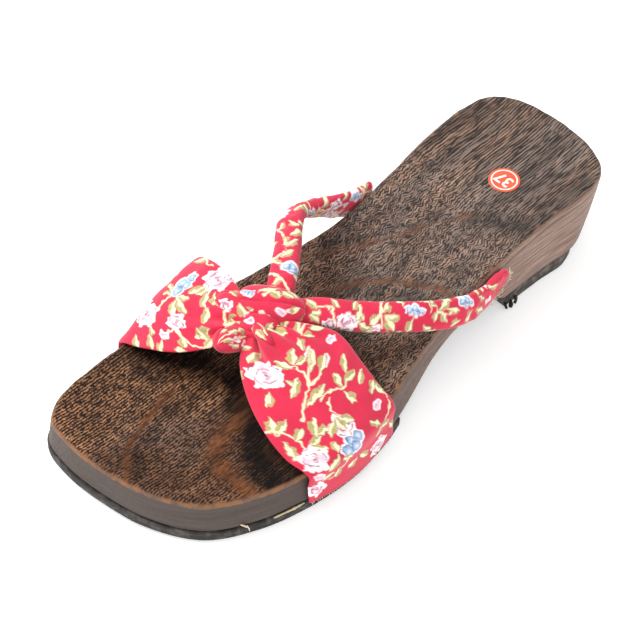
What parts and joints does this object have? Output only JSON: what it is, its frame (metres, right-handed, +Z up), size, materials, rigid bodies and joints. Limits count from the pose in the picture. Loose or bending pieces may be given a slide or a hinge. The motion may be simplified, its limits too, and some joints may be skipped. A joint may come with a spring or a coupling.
{
  "type": "geta sandal",
  "caption": "Geta-style sandal with a one-piece carved wooden sole, rubber under forefoot and heel, and a knotted cloth bow with rear straps.",
  "frame": {"origin": "on the floor, under the middle of the sandal's bounding box", "axes": "+Y towards the heel, -Y towards the toe, -X towards the big-toe side, +X towards the little-toe side, +Z up"},
  "size_m": [0.1006, 0.2424, 0.0508],
  "materials": {
    "charred_wood": "scorched and brushed paulownia, dark brown to charcoal with orange-brown bands, satin",
    "outsole_rubber": "dark grey sheet rubber, matt",
    "heel_rubber": "grey-brown sheet rubber, matt and dusty",
    "printed_cotton": "crimson plain-weave cotton with a small print of white, pink and light blue flowers and olive leaves"
  },
  "bodies": {
    "root": {"wood_sole": "charred_wood", "forefoot_outsole": "outsole_rubber", "heel_lift": "heel_rubber", "bow_strap": "printed_cotton"}
  },
  "joints": []
}
